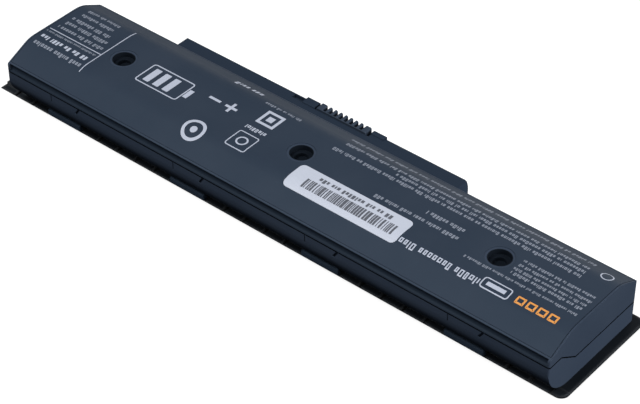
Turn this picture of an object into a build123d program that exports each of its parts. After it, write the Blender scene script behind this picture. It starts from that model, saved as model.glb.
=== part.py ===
from build123d import *
import os
from math import cos, radians, sin, sqrt, tan

os.makedirs("parts", exist_ok=True)

# Removable notebook battery, label side up, in millimetres
# X runs along the pack, Y from the rounded nose to the rear tongue, Z up from the cover plate's underside

# Cells: two rows of three round cells, every positive end towards +X
cell_diameter = 18.5
cell_length = 65.0
cell_cap_radius = 4.4
cell_cap_height = 0.6
cell_edge_chamfer = 0.6
crimp_depth = 0.7
crimp_width = 2.2
crimp_from_shoulder = 1.6
row_gap = 2.85
strip_thickness = 0.3
strip_width = 8.0
tape_thickness = 0.2
tape_width = 4.0
tape_gap = 1.0
tape_from_nose = 0.2
ring_thickness = 0.25
ring_clearance = 0.3
cells_in_row = 3

# Case walls and the room they leave round the cells
case_length = 230.0
wall = 1.2
nose_wall = 2.4
head_room = 0.4
rear_room = 2.1
nose_room = 1.55
facet_room = 0.25
facet_angle = 24.6
rear_facet_angle = 27.3
nose_radius = 11.3
brow_radius = 1.4
rear_brow_radius = 2.0
bend_radius = 12.0
front_corner_radius = 0.6
rear_corner_radius = 1.5

# Seam between the two halves of the case, a lap joint with a shadow gap outside
seam_rear_height = 9.2
seam_rise = 5.4
seam_step_start = 6.3
seam_step_length = 8.0
seam_gap = 0.5
lip_width = 0.5
lip_height = 1.2
lip_clearance = 0.1

# Cove under the brow, between the two end cheeks
cove_height = 2.95
cove_depth = 1.3
cove_above_seam = 0.55
cheek_width = 0.9

# Cover plate under the case, with vent pockets along its front edge
plate_thickness = 1.3
plate_left_overhang = 9.6
plate_right_overhang = 3.4
plate_set_back = 4.0
plate_rear_overhang = 1.8
plate_corner_radius = 3.0
plate_edge_chamfer = 0.4
wedge_front_height = 1.0
wedge_rear_height = 1.75
wedge_depth = 3.2
vent_width = 7.9
vent_rib = 0.75
vent_shift = 1.8
vent_floor = 0.5
vent_groups = (3, 5, 5, 5, 3)
tab_length = 15.4
tab_depth = 1.3
tab_height = 2.7

# Catch marks on the lower front band, a slanted notch and a fine line to its left
catch_count = 4
catch_pitch = 57.0
catch_offset = 5.1
catch_line_width = 0.35
catch_line_depth = 0.25
catch_line_height = 3.0
catch_line_from_notch = 13.5
catch_notch_width = 0.8
catch_notch_depth = 0.8
catch_notch_height = 3.0
catch_notch_slant = 33.0

# Rear tongue with the connector notch
tongue_depth = 8.2
tongue_base = 3.2
tongue_height = 10.75
tongue_left_reach = 81.0
tongue_right_reach = 45.4
tongue_corner_radius = 3.5
tongue_end_chamfer = 2.2
tongue_root = 3.0

# Connector comb, open to the top and the rear
contact_count = 8
contact_pitch = 2.25
contact_thickness = 0.4
contact_slit_clearance = 0.02
contact_rise = 1.2
contact_root = 2.9
contact_foot = 1.8
contact_set_back = 0.8
slot_width = 1.1
slot_depth = 3.9
slot_front_wall = 0.4
end_fin = 2.4
fin_round = 0.5
comb_reach = 8.6
comb_overhang = 1.1
comb_rise = 0.6
comb_gap_left = 0.6
comb_gap_right = 1.5
notch_depth = 2.6
notch_drop = 4.9
housing_depth = 4.8
housing_flange = 2.6
housing_clearance = 0.2
lug_length = 5.3
lug_height = 3.0
lug_rise = 0.5
lug_overhang = 0.9
lug_round = 0.4
lug_pocket_length = 5.0
lug_pocket_depth = 1.9
lug_pocket_rim = 0.5

# Round sockets in the label face
socket_pitch = 80.1
socket_offset = -0.9
socket_behind_nose = 23.5
socket_radius = 3.9
socket_depth = 2.2
pilot_radius = 2.4
pilot_depth = 3.6
socket_wall = 1.0
socket_floor = 0.9

# Label film in its recess, and the sticker on it
film_thickness = 0.2
film_margin = 0.5
film_gap = 0.25
film_from_nose = 1.4
film_from_rear = 1.7
film_glue = 0.02
film_socket_ring = 1.1
sticker_thickness = 0.1
sticker_left = 3.5
sticker_length = 45.9
sticker_from_nose = 8.2
sticker_width = 11.1
sticker_corner = 1.8

# Cradles and stops moulded inside the case
rib_thickness = 1.5
cradle_offset = 20.0
cradle_clearance = 0.15
cradle_low_height = 4.0
cradle_high_height = 2.6
rib_rear_reach = 5.4
end_pad_thickness = 2.0
end_pad_radius = 6.5
stop_height = 12.0

# Board and what it carries
board_thickness = 1.0
board_stand = 1.6
board_front_gap = 0.2
board_side_gap = 0.5
board_left_margin = 3.4
board_right_margin = 5.4
board_pin_radius = 1.0
board_pin_clearance = 0.1
board_pin_rise = 0.6
board_pin_inset = 3.6
post_radius = 2.0
sheet_thickness = 0.2
sheet_gap = 0.1
sheet_drop = 0.3
sheet_lead_gap = 1.2
tail_height = 2.4
tail_on_board = 1.4
tail_slit_clearance = 0.2
lead_radius = 0.8
lead_bend_radius = 1.6
lead_run_from_rear = 2.7
lead_run_height = 4.6
lead_on_board = 6.0
lead_on_board_inset = 1.55
lead_start_reach = 2.1
lead_side_gap = 1.2
lead_seat = 0.03
solder_tab_width = 4.5
solder_tab_drop = 0.4

# Small parts on the board, placed from its ends
part_row_from_front = 4.45
chip_lift = 0.1
chip_leg_width = 0.3
chip_leg_reach = 0.7
chip_leg_height = 0.5
chip_leg_pitch = 0.7
gauge_from_left = 25.6
gauge_legs = 10
gauge_length = 7.8
gauge_width = 3.4
gauge_height = 1.1
switch_from_right = 14.0
switch_pitch = 8.2
switch_legs = 4
switch_length = 4.9
switch_width = 3.4
switch_height = 1.5
fuse_from_left = 17.2
fuse_length = 7.0
fuse_width = 3.2
fuse_height = 1.8
fuse_cap = 1.4
fuse_cap_lift = 0.15
resistor_from_left = 9.6
resistor_length = 6.4
resistor_width = 3.2
resistor_height = 0.7
capacitor_gap = 1.0
capacitor_pitch = 2.6
capacitor_count = 4
capacitor_length = 2.0
capacitor_width = 1.2
capacitor_height = 1.2
sensor_from_right = 28.8
sensor_radius = 1.2
sensor_length = 2.6
sensor_chamfer = 0.4
sensor_gap = 0.2
sensor_stand = 3.2
sensor_leg_radius = 0.25
sensor_leg_spacing = 1.2

# Places worked out from the sizes above
cell_radius = cell_diameter / 2
z_base = plate_thickness
z_floor = z_base + wall
z_cell = z_floor + tape_thickness + cell_radius
z_top = z_cell + cell_radius + head_room + wall
case_depth = nose_wall + nose_room + 2 * cell_diameter + row_gap + rear_room + wall
y_front = -(case_depth + tongue_depth + comb_overhang) / 2
y_rear = y_front + case_depth
y_tongue = y_rear + tongue_depth
y_comb = y_tongue + comb_overhang
y_cell_front = y_front + nose_wall + nose_room + cell_radius
y_cell_back = y_cell_front + cell_diameter + row_gap
x_mid = (plate_left_overhang - plate_right_overhang) / 2
x_left = x_mid - case_length / 2
x_right = x_mid + case_length / 2
cell_pitch = cell_length + strip_thickness
stack_length = cells_in_row * cell_pitch + strip_thickness
x_stack = x_mid - stack_length / 2
facet_reach = cell_radius + facet_room + wall
facet_drop = (z_top - z_cell) * cos(radians(facet_angle))
y_bend = y_cell_front - (facet_reach - facet_drop) / sin(radians(facet_angle))
z_brow = z_top - (y_bend - y_front) * tan(radians(facet_angle))
rear_drop = (z_top - z_cell) * cos(radians(rear_facet_angle))
y_rear_bend = y_cell_back + (facet_reach - rear_drop) / sin(radians(rear_facet_angle))
z_rear_brow = z_top - (y_rear - y_rear_bend) * tan(radians(rear_facet_angle))
seam_front_height = seam_rear_height + seam_rise
tongue_top = tongue_base + tongue_height
x_tongue_left = x_mid - tongue_left_reach
x_tongue_right = x_mid + tongue_right_reach
board_z = tongue_base + wall + board_stand
board_top = board_z + board_thickness
y_sheet = y_cell_back + cell_radius + sheet_gap
y_board = y_sheet + sheet_thickness + board_front_gap
board_depth = y_tongue - wall - board_side_gap - y_board
x_board_left = x_tongue_left + wall + board_left_margin
x_board_right = x_tongue_right - wall - board_right_margin
comb_length = (contact_count - 1) * contact_pitch + slot_width + 2 * end_fin
x_comb = x_mid - comb_reach
x_notch_left = x_comb - comb_length / 2 - comb_gap_left
x_notch_right = x_comb + comb_length / 2 + comb_gap_right
y_notch = y_tongue - notch_depth
z_notch = tongue_top - notch_drop
z_slot = tongue_top - slot_depth
socket_places = [
    (x_mid + socket_offset + step * socket_pitch, y_front + socket_behind_nose) for step in (-1, 0, 1)
]
y_film = y_front + film_from_nose
y_film_end = y_rear - film_from_rear
film_depth = y_film_end - y_film
x_plate = x_left - plate_left_overhang
y_plate = y_front + plate_set_back
z_lug = tongue_top + lug_rise
y_pins = y_board + board_depth / 2
y_parts = y_board + part_row_from_front
x_lead_left = x_tongue_left + wall + lead_side_gap
x_lead_right = x_tongue_right - wall - lead_side_gap
sheet_height = tongue_height - 2 * (wall + sheet_drop)
z_solder = lead_run_height - lead_radius - solder_tab_drop
over = 5.0
LOW = (Align.MIN, Align.MIN)
MID_LOW = (Align.CENTER, Align.MIN)


def case_bar(x, length, inset, nose_inset):
    """Bar with the case's outline, with every side moved inwards by the inset."""
    with BuildPart() as bar:
        with BuildSketch(Plane.YZ.offset(x)) as section:
            with BuildLine():
                Polyline(
                    (y_rear, z_base),
                    (y_rear, z_rear_brow),
                    (y_rear_bend, z_top),
                    (y_bend, z_top),
                    (y_front, z_brow),
                    (y_front, z_base),
                    close=True,
                )
            make_face()
            fillet(section.vertices().sort_by_distance((y_rear, z_rear_brow))[0], rear_brow_radius)
            fillet(section.vertices().sort_by_distance((y_rear_bend, z_top))[0], bend_radius)
            fillet(section.vertices().sort_by_distance((y_bend, z_top))[0], bend_radius)
            fillet(section.vertices().sort_by_distance((y_front, z_brow))[0], brow_radius)
            fillet(section.vertices().sort_by_distance((y_front, z_base))[0], nose_radius)
            if inset:
                offset(amount=-inset, kind=Kind.INTERSECTION)
            with Locations((y_front + nose_inset, z_base - over)):
                Rectangle(case_depth + over, z_top + 2 * over, align=LOW, mode=Mode.INTERSECT)
        extrude(amount=length)
    return bar.part


def block_solid(x, y, z, length, depth, height):
    """Plain block from its lowest corner."""
    with BuildPart() as block:
        with BuildSketch(Plane.XY.offset(z)):
            with Locations((x, y)):
                Rectangle(length, depth, align=LOW)
        extrude(amount=height)
    return block.part


def common_solid(solid, *blocks):
    """What the solid has in common with every block."""
    with BuildPart() as piece:
        add(solid)
        for block in blocks:
            add(block, mode=Mode.INTERSECT)
    return piece.part


def tongue_solid(inset):
    """Rear tongue with its sloping right end, every wall moved inwards by the inset."""
    left = x_tongue_left + inset
    length = x_tongue_right - inset - left
    depth = tongue_depth + tongue_root - inset
    height = tongue_height - 2 * inset
    slope = tongue_end_chamfer - (2 - sqrt(2)) * inset
    with BuildPart() as tongue:
        with BuildSketch(Plane.XY.offset(tongue_base + inset)) as plan:
            with Locations((left, y_rear - tongue_root)):
                Rectangle(length, depth, align=LOW)
            corner = plan.vertices().sort_by_distance((left + length, y_tongue))[0]
            fillet(corner, tongue_corner_radius - inset)
        extrude(amount=height)
        with BuildSketch(Plane.XZ.offset(-(y_tongue + over))):
            with Locations((left + length, tongue_base + inset + height)):
                Rectangle(slope * sqrt(2), slope * sqrt(2), rotation=45)
        extrude(amount=tongue_depth + tongue_root + 2 * over, mode=Mode.SUBTRACT)
    return tongue.part


def pack_solid(inset, nose_inset):
    """Case and tongue as one solid, every wall moved inwards by the inset."""
    length = case_length - 2 * inset
    bar = case_bar(x_left + inset, length, inset, inset)
    tongue = tongue_solid(inset)
    with BuildPart() as body:
        add(bar)
        with BuildSketch(Plane.XY) as plan:
            with Locations((x_left + inset, y_front + nose_inset)):
                Rectangle(length, case_depth - nose_inset - inset, align=LOW)
            if front_corner_radius > nose_inset:
                fillet(plan.vertices().group_by(Axis.Y)[0], front_corner_radius - nose_inset)
            fillet(plan.vertices().group_by(Axis.Y)[-1], rear_corner_radius - inset)
        extrude(amount=z_top + over, mode=Mode.INTERSECT)
        add(tongue)
    return body.part


def seam_block(lift, above):
    """Space above or below the stepped seam, with the seam lifted by the given height."""
    y_step = y_front + seam_step_start
    z_end = z_top + over if above else -over
    with BuildPart() as block:
        with BuildSketch(Plane.YZ.offset(x_left - over)):
            with BuildLine():
                Polyline(
                    (y_front - over, seam_front_height + lift),
                    (y_step, seam_front_height + lift),
                    (y_step + seam_step_length, seam_rear_height + lift),
                    (y_comb + over, seam_rear_height + lift),
                    (y_comb + over, z_end),
                    (y_front - over, z_end),
                    close=True,
                )
            make_face()
        extrude(amount=case_length + 2 * over)
    return block.part


def rib_solid(x, z_low, z_high):
    """Rib across the case, open behind the back row of cells where the leads run."""
    bar = case_bar(x, rib_thickness, wall / 2, nose_wall - wall / 2)
    reach = y_cell_back + rib_rear_reach - y_front
    return common_solid(bar, block_solid(x, y_front, z_low, rib_thickness, reach, z_high - z_low))


def cradle_solid(x, z_low, z_high):
    """Rib hollowed for the two rows of cells."""
    rib = rib_solid(x, z_low, z_high)
    with BuildPart() as cradle:
        add(rib)
        with BuildSketch(Plane.YZ.offset(x)):
            with Locations((y_cell_front, z_cell), (y_cell_back, z_cell)):
                Circle(cell_radius + cradle_clearance)
        extrude(amount=rib_thickness, mode=Mode.SUBTRACT)
    return cradle.part


def skin_solid(outer, inner, x, length, y, depth):
    """Thin skin that follows the top of the case between two offsets of its outline."""
    hollow = case_bar(x - over, length + 2 * over, inner, inner)
    bar = case_bar(x, length, -outer, -outer)
    skin = common_solid(bar, block_solid(x, y, z_cell, length, depth, z_top))
    with BuildPart() as piece:
        add(skin)
        add(hollow, mode=Mode.SUBTRACT)
    return piece.part


def vent_places():
    """Middles of the vent pockets and of the solid tabs, counted from the plate's left edge."""
    vents = []
    tabs = []
    x = x_plate + vent_rib - vent_shift
    for group, count in enumerate(vent_groups):
        for step in range(count):
            vents.append(x + vent_width / 2)
            x += vent_width + vent_rib
        x -= vent_rib
        if group < len(vent_groups) - 1:
            tabs.append(x + tab_length / 2)
            x += tab_length
    return vents, tabs


# Shared solids of the two case halves
outside = pack_solid(0, 0)
inside = pack_solid(wall, nose_wall)
above_seam = seam_block(seam_gap, True)
below_seam = seam_block(0, False)
lip_body = pack_solid(wall - lip_width, nose_wall - lip_width)
lip = common_solid(lip_body, seam_block(-wall, True), seam_block(lip_height, False))
rebate_inset = lip_width + lip_clearance
rebate_body = pack_solid(wall - rebate_inset, nose_wall - rebate_inset)
rebate = common_solid(rebate_body, seam_block(lip_height + lip_clearance, False))
vent_middles, tab_middles = vent_places()
cell_starts = [x_stack + strip_thickness + index * cell_pitch for index in range(cells_in_row)]
cradle_places = [
    x + cell_length / 2 + side * cradle_offset - rib_thickness / 2 for x in cell_starts for side in (-1, 1)
]
high_cradles = [cradle_solid(x, z_top - wall - cradle_high_height, z_top) for x in cradle_places]
low_cradles = [cradle_solid(x, z_base, z_floor + cradle_low_height) for x in cradle_places]
stop_places = (
    x_stack - end_pad_thickness - rib_thickness,
    x_stack + stack_length + end_pad_thickness,
)
end_stops = [rib_solid(x, z_base, z_base + stop_height) for x in stop_places]
notch = block_solid(
    x_notch_left, y_notch, z_notch, x_notch_right - x_notch_left, notch_depth + over, notch_drop + over
)

# Upper half of the case
cove_radius = (cove_height**2 / 4 + cove_depth**2) / (2 * cove_depth)
z_cove = seam_front_height + cove_above_seam + cove_height / 2
film_recess = skin_solid(
    over,
    film_thickness,
    x_left + film_margin,
    case_length - 2 * film_margin,
    y_film - film_gap,
    film_depth + 2 * film_gap,
)
with BuildPart() as upper_case:
    add(outside)
    add(above_seam, mode=Mode.INTERSECT)
    add(rebate, mode=Mode.SUBTRACT)
    add(inside, mode=Mode.SUBTRACT)
    add(high_cradles)
    with BuildSketch(Plane.YZ.offset(x_left + cheek_width)):
        with Locations((y_front + cove_depth - cove_radius, z_cove)):
            Circle(cove_radius)
    extrude(amount=case_length - 2 * cheek_width, mode=Mode.SUBTRACT)
    with BuildSketch(Plane.XY.offset(z_top - socket_depth - socket_floor)):
        with Locations(*socket_places):
            Circle(socket_radius + socket_wall)
    extrude(amount=socket_depth)
    with BuildSketch(Plane.XY.offset(z_top - pilot_depth - socket_floor)):
        with Locations(*socket_places):
            Circle(pilot_radius + socket_wall)
    extrude(amount=pilot_depth)
    add(film_recess, mode=Mode.SUBTRACT)
    with Locations(*[(x, y, z_top) for x, y in socket_places]):
        CounterBoreHole(pilot_radius, socket_radius, socket_depth, pilot_depth)
    with BuildSketch(Plane.XY.offset(tongue_top - wall / 2)):
        with Locations((x_notch_left - lug_length, y_notch)):
            Rectangle(lug_length, notch_depth + lug_overhang, align=LOW)
    extrude(amount=wall / 2 + lug_rise)
    with BuildSketch(Plane.XY.offset(tongue_top - lug_height)):
        with Locations((x_notch_left - lug_length, y_tongue - wall), (x_notch_right, y_tongue - wall)):
            Rectangle(lug_length, wall + lug_overhang, align=LOW)
    extrude(amount=lug_height + lug_rise)
    fillet(upper_case.edges().filter_by(Axis.X).filter_by_position(Axis.Z, z_lug, z_lug), lug_round)
    add(notch, mode=Mode.SUBTRACT)
    with BuildSketch(Plane.XY.offset(tongue_top - wall)):
        with Locations((x_notch_left - lug_length, y_tongue - lug_pocket_rim)):
            Rectangle(lug_pocket_length, lug_pocket_depth, align=(Align.MAX, Align.MAX))
    extrude(amount=wall + over, mode=Mode.SUBTRACT)
upper_case.part.label = "upper_case"
export_step(upper_case.part, "parts/upper_case.step")

# Lower half of the case
catch_middle = (catch_count - 1) / 2
catch_notches = [x_mid + catch_offset + (index - catch_middle) * catch_pitch for index in range(catch_count)]
catch_lines = [x - catch_line_from_notch for x in catch_notches]
post_places = [(x, y_pins) for x in (x_board_left + board_pin_inset, x_board_right - board_pin_inset)]
with BuildPart() as lower_case:
    add(outside)
    add(below_seam, mode=Mode.INTERSECT)
    add(lip)
    add(inside, mode=Mode.SUBTRACT)
    add(low_cradles)
    add(end_stops)
    add(notch, mode=Mode.SUBTRACT)
    with BuildSketch(Plane.XY.offset(tongue_base + wall / 2)):
        with Locations(*post_places):
            Circle(post_radius)
    extrude(amount=wall / 2 + board_stand)
    with BuildSketch(Plane.XY.offset(board_z)):
        with Locations(*post_places):
            Circle(board_pin_radius)
    extrude(amount=board_thickness + board_pin_rise)
    with BuildSketch(Plane.XY.offset(seam_front_height - catch_line_height)):
        with Locations(*[(x, y_front + catch_line_depth) for x in catch_lines]):
            Rectangle(catch_line_width, over, align=(Align.MIN, Align.MAX))
    extrude(amount=catch_line_height + lip_height, mode=Mode.SUBTRACT)
    with BuildSketch(Plane.XZ.offset(-y_front - catch_notch_depth)):
        with Locations(*[(x, seam_front_height) for x in catch_notches]):
            Rectangle(catch_notch_width, 2 * catch_notch_height, rotation=-catch_notch_slant)
    extrude(amount=over, mode=Mode.SUBTRACT)
lower_case.part.label = "lower_case"
export_step(lower_case.part, "parts/lower_case.step")

# Cover plate, with open vent pockets between thin ribs and four raised tabs
plate_length = case_length + plate_left_overhang + plate_right_overhang
plate_depth = y_rear + plate_rear_overhang - y_plate
with BuildPart() as cover_plate:
    with BuildSketch(Plane.YZ.offset(x_plate)):
        with BuildLine():
            Polyline(
                (y_plate, 0),
                (y_plate + plate_depth, 0),
                (y_plate + plate_depth, plate_thickness),
                (y_plate + wedge_depth, plate_thickness),
                (y_plate + wedge_depth, wedge_rear_height),
                (y_plate, wedge_front_height),
                close=True,
            )
        make_face()
    extrude(amount=plate_length)
    with BuildSketch(Plane.XY) as plan:
        with Locations((x_plate, y_plate)):
            Rectangle(plate_length, plate_depth, align=LOW)
        fillet(plan.vertices().group_by(Axis.X)[-1], plate_corner_radius)
    extrude(amount=wedge_rear_height + over, mode=Mode.INTERSECT)
    chamfer(cover_plate.edges().group_by(Axis.Z)[0], plate_edge_chamfer)
    with BuildSketch(Plane.XY.offset(vent_floor)):
        with Locations(*[(x, y_plate - over) for x in vent_middles]):
            Rectangle(vent_width, wedge_depth + over, align=MID_LOW)
    extrude(amount=wedge_rear_height, mode=Mode.SUBTRACT)
    with BuildSketch(Plane.XY.offset(vent_floor)):
        with Locations(*[(x, y_plate) for x in tab_middles]):
            Rectangle(tab_length, tab_depth, align=MID_LOW)
    extrude(amount=tab_height - vent_floor)
cover_plate.part.label = "cover_plate"
export_step(cover_plate.part, "parts/cover_plate.step")

# Label film, cut out round the sockets
film_body = skin_solid(
    0,
    film_thickness - film_glue,
    x_left + film_margin + film_gap,
    case_length - 2 * (film_margin + film_gap),
    y_film,
    film_depth,
)
with BuildPart() as label_film:
    add(film_body)
    with BuildSketch(Plane.XY.offset(z_top - over)):
        with Locations(*socket_places):
            Circle(socket_radius + film_socket_ring)
    extrude(amount=2 * over, mode=Mode.SUBTRACT)
label_film.part.label = "label_film"
export_step(label_film.part, "parts/label_film.step")

# White sticker across the bend
x_sticker = x_mid + sticker_left
y_sticker = y_front + sticker_from_nose
sticker_body = skin_solid(sticker_thickness, 0, x_sticker, sticker_length, y_sticker, sticker_width)
with BuildPart() as barcode_sticker:
    add(sticker_body)
    with BuildSketch(Plane.XY):
        with Locations((x_sticker, y_sticker)):
            RectangleRounded(sticker_length, sticker_width, sticker_corner, align=LOW)
    extrude(amount=z_top + over, mode=Mode.INTERSECT)
barcode_sticker.part.label = "barcode_sticker"
export_step(barcode_sticker.part, "parts/barcode_sticker.step")

# Six cells, with a crimped groove below the positive end
for row, y_cell in (("front", y_cell_front), ("back", y_cell_back)):
    for index, x_cell in enumerate(cell_starts):
        shoulder = cell_length - cell_cap_height
        crimp = shoulder - crimp_from_shoulder
        with BuildPart() as cell:
            with BuildSketch(Plane((x_cell, y_cell, z_cell), (1, 0, 0), (0, -1, 0))) as half:
                with BuildLine():
                    Polyline(
                        (0, 0),
                        (0, cell_radius),
                        (crimp - crimp_width, cell_radius),
                        (crimp - crimp_width / 2, cell_radius - crimp_depth),
                        (crimp, cell_radius),
                        (shoulder, cell_radius),
                        (shoulder, cell_cap_radius),
                        (cell_length, cell_cap_radius),
                        (cell_length, 0),
                        close=True,
                    )
                make_face()
                ends = half.vertices().sort_by(Axis.Y)[-4:].sort_by(Axis.X)
                chamfer([ends[0], ends[-1]], cell_edge_chamfer)
            revolve(axis=Axis((x_cell, y_cell, z_cell), (1, 0, 0)))
        cell.part.label = f"cell_{row}_{index + 1}"
        export_step(cell.part, f"parts/cell_{row}_{index + 1}.step")

# Paper rings on the positive shoulders
with BuildPart() as insulator_rings:
    for x_cell in cell_starts:
        with BuildSketch(Plane.YZ.offset(x_cell + cell_length - cell_cap_height)):
            with Locations((y_cell_front, z_cell), (y_cell_back, z_cell)):
                Circle(cell_radius - cell_edge_chamfer)
                Circle(cell_cap_radius + ring_clearance, mode=Mode.SUBTRACT)
        extrude(amount=ring_thickness)
insulator_rings.part.label = "insulator_rings"
export_step(insulator_rings.part, "parts/insulator_rings.step")

# Nickel strips across the two rows: the two links reach back to the board, the two ends have solder tabs
strip_names = ("negative_strip", "link_strip_left", "link_strip_right", "positive_strip")
for index, name in enumerate(strip_names):
    with BuildPart() as strip:
        with BuildSketch(Plane.YZ.offset(x_stack + index * cell_pitch)):
            with Locations(((y_cell_front + y_cell_back) / 2, z_cell)):
                SlotCenterToCenter(y_cell_back - y_cell_front, strip_width)
            if index in (0, cells_in_row):
                with Locations((y_cell_back, z_solder)):
                    Rectangle(solder_tab_width, z_cell - z_solder, align=LOW)
            else:
                with Locations((y_cell_back, board_top)):
                    Rectangle(y_board + tail_on_board - y_cell_back, tail_height, align=LOW)
        extrude(amount=strip_thickness)
    strip.part.label = name
    export_step(strip.part, f"parts/{name}.step")

# Foam pads between the end strips and the end stops
with BuildPart() as end_pads:
    for x_pad in (x_stack - end_pad_thickness, x_stack + stack_length):
        with BuildSketch(Plane.YZ.offset(x_pad)):
            with Locations((y_cell_front, z_cell), (y_cell_back, z_cell)):
                Circle(end_pad_radius)
            with Locations((y_front, z_base + stop_height)):
                Rectangle(case_depth, z_top, align=LOW, mode=Mode.SUBTRACT)
        extrude(amount=end_pad_thickness)
end_pads.part.label = "end_pads"
export_step(end_pads.part, "parts/end_pads.step")

# Adhesive pads on the floor under the cells, the front ones just behind the nose's curve
y_tape_front = y_front + nose_radius + tape_from_nose
y_tape_back = y_cell_back - tape_width / 2
with BuildPart() as cell_tapes:
    with BuildSketch(Plane.XY.offset(z_floor)):
        with Locations(*[(x + cell_length / 2, y) for x in cell_starts for y in (y_tape_front, y_tape_back)]):
            Rectangle(2 * cradle_offset - rib_thickness - 2 * tape_gap, tape_width, align=MID_LOW)
    extrude(amount=tape_thickness)
cell_tapes.part.label = "cell_tapes"
export_step(cell_tapes.part, "parts/cell_tapes.step")

# Board on its two posts
with BuildPart() as protection_board:
    with BuildSketch(Plane.XY.offset(board_z)):
        with Locations((x_board_left, y_board)):
            Rectangle(x_board_right - x_board_left, board_depth, align=LOW)
        with Locations(*post_places):
            Circle(board_pin_radius + board_pin_clearance, mode=Mode.SUBTRACT)
    extrude(amount=board_thickness)
protection_board.part.label = "protection_board"
export_step(protection_board.part, "parts/protection_board.step")

# Insulation sheet between cells and board, slit for the two link tails
tail_places = [x_stack + index * cell_pitch + strip_thickness / 2 for index in range(1, cells_in_row)]
with BuildPart() as insulation_sheet:
    with BuildSketch(Plane.XZ.offset(-y_sheet)):
        with Locations((x_lead_left + sheet_lead_gap, tongue_base + wall + sheet_drop)):
            Rectangle(x_lead_right - x_lead_left - 2 * sheet_lead_gap, sheet_height, align=LOW)
        with Locations(*[(x, board_top - tail_slit_clearance) for x in tail_places]):
            Rectangle(
                strip_thickness + 2 * tail_slit_clearance,
                tongue_top,
                align=(Align.CENTER, Align.MIN),
                mode=Mode.SUBTRACT,
            )
    extrude(amount=-sheet_thickness)
insulation_sheet.part.label = "insulation_sheet"
export_step(insulation_sheet.part, "parts/insulation_sheet.step")

# Connector comb that stands on the board and shows in the tongue's notch
x_contact = x_comb - (contact_count - 1) / 2 * contact_pitch
contact_places = [x_contact + index * contact_pitch for index in range(contact_count)]
y_comb_front = y_notch + housing_clearance
z_comb = z_notch + housing_clearance
z_fins = tongue_top + comb_rise
z_contact = z_slot + contact_rise
y_contact = y_comb_front - contact_root
y_contact_end = y_comb - contact_set_back
contact_slit = contact_thickness + 2 * contact_slit_clearance
with BuildPart() as connector_housing:
    with BuildSketch(Plane.XY.offset(board_top)):
        with Locations((x_comb, y_comb_front - housing_depth)):
            Rectangle(comb_length + 2 * housing_flange, housing_depth, align=MID_LOW)
    extrude(amount=tongue_top - wall - housing_clearance - board_top)
    with BuildSketch(Plane.XY.offset(z_comb)):
        with Locations((x_comb, y_comb_front)):
            Rectangle(comb_length, y_comb - y_comb_front, align=MID_LOW)
    extrude(amount=z_fins - z_comb)
    with BuildSketch(Plane.XY.offset(z_slot)):
        with Locations(*[(x, y_comb_front + slot_front_wall) for x in contact_places]):
            Rectangle(slot_width, y_comb - y_comb_front, align=MID_LOW)
    extrude(amount=z_fins - z_slot, mode=Mode.SUBTRACT)
    fillet(connector_housing.edges().filter_by(Axis.Y).group_by(Axis.Z)[-1], fin_round)
    with BuildSketch(Plane.XY.offset(board_top)):
        with Locations(*[(x, y_contact) for x in contact_places]):
            Rectangle(contact_slit, y_contact_end - y_contact, align=MID_LOW)
    extrude(amount=z_contact + contact_slit_clearance - board_top, mode=Mode.SUBTRACT)
connector_housing.part.label = "connector_housing"
export_step(connector_housing.part, "parts/connector_housing.step")

# One contact blade in each slot, standing on the board
y_blade = y_contact + contact_slit_clearance
y_blade_end = y_contact_end - contact_slit_clearance
z_blade = z_comb + contact_slit_clearance
with BuildPart() as contact_blades:
    for x in contact_places:
        with BuildSketch(Plane.YZ.offset(x - contact_thickness / 2)):
            with BuildLine():
                Polyline(
                    (y_blade, board_top),
                    (y_blade + contact_foot, board_top),
                    (y_blade + contact_foot, z_blade),
                    (y_blade_end, z_blade),
                    (y_blade_end, z_slot),
                    (y_blade_end - contact_rise, z_contact),
                    (y_blade, z_contact),
                    close=True,
                )
            make_face()
        extrude(amount=contact_thickness)
contact_blades.part.label = "contact_blades"
export_step(contact_blades.part, "parts/contact_blades.step")

# Gauge chip with two rows of legs
with BuildPart() as gauge_chip:
    with BuildSketch(Plane.XY.offset(board_top + chip_lift)):
        with Locations((x_board_left + gauge_from_left, y_parts)):
            Rectangle(gauge_length, gauge_width)
    extrude(amount=gauge_height)
    chamfer(gauge_chip.edges().group_by(Axis.Z)[-1], chip_lift)
    with BuildSketch(Plane.XY.offset(board_top)):
        with Locations((x_board_left + gauge_from_left, y_parts)):
            with GridLocations(chip_leg_pitch, 0, gauge_legs, 1):
                Rectangle(chip_leg_width, gauge_width + 2 * chip_leg_reach)
    extrude(amount=chip_leg_height)
gauge_chip.part.label = "gauge_chip"
export_step(gauge_chip.part, "parts/gauge_chip.step")

# Two power switches side by side
switch_places = [(x_board_right - switch_from_right - step * switch_pitch, y_parts) for step in (0, 1)]
with BuildPart() as power_switches:
    with BuildSketch(Plane.XY.offset(board_top + chip_lift)):
        with Locations(*switch_places):
            Rectangle(switch_length, switch_width)
    extrude(amount=switch_height)
    chamfer(power_switches.edges().group_by(Axis.Z)[-1], chip_lift)
    with BuildSketch(Plane.XY.offset(board_top)):
        with Locations(*switch_places):
            with GridLocations(2 * chip_leg_pitch, 0, switch_legs, 1):
                Rectangle(chip_leg_width, switch_width + 2 * chip_leg_reach)
    extrude(amount=chip_leg_height)
power_switches.part.label = "power_switches"
export_step(power_switches.part, "parts/power_switches.step")

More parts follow.
